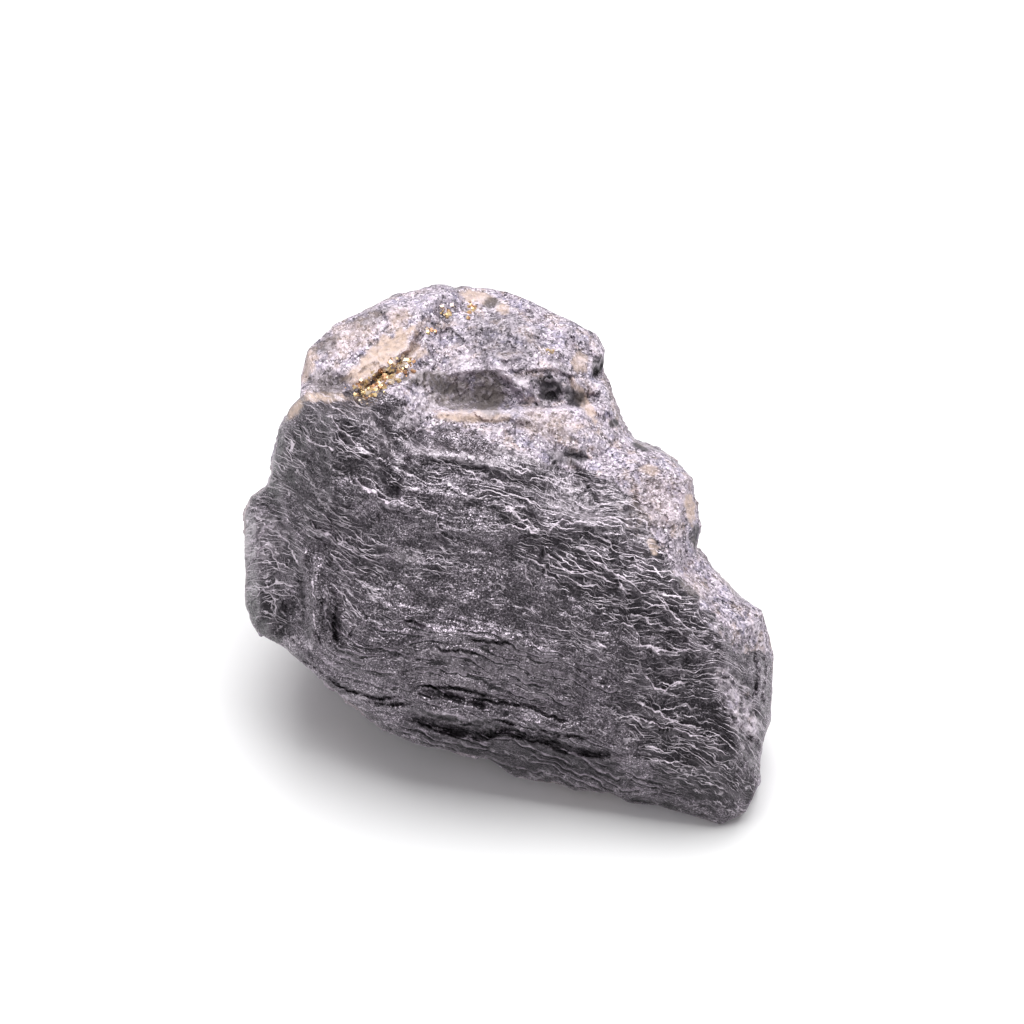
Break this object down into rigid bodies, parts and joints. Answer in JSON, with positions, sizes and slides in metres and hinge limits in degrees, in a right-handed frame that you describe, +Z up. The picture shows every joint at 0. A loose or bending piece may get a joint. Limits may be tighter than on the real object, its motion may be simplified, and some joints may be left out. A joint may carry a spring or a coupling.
{
  "type": "galena specimen",
  "caption": "Broken hand specimen of massive lead-grey galena with a wrinkled shear face, a coarse cleaved top and one flat underside that it rests on.",
  "frame": {"origin": "centre of the lump's box, at the level of the flat it rests on", "axes": "+Z up from the flat, +X along the lump's width, to the right as one faces the shear face, +Y from the shear face to the back"},
  "size_m": [0.085, 0.076, 0.0543],
  "materials": {
    "galena": "satin",
    "pyrite": "satin"
  },
  "bodies": {
    "root": {"galena_specimen": "galena"}
  },
  "joints": []
}
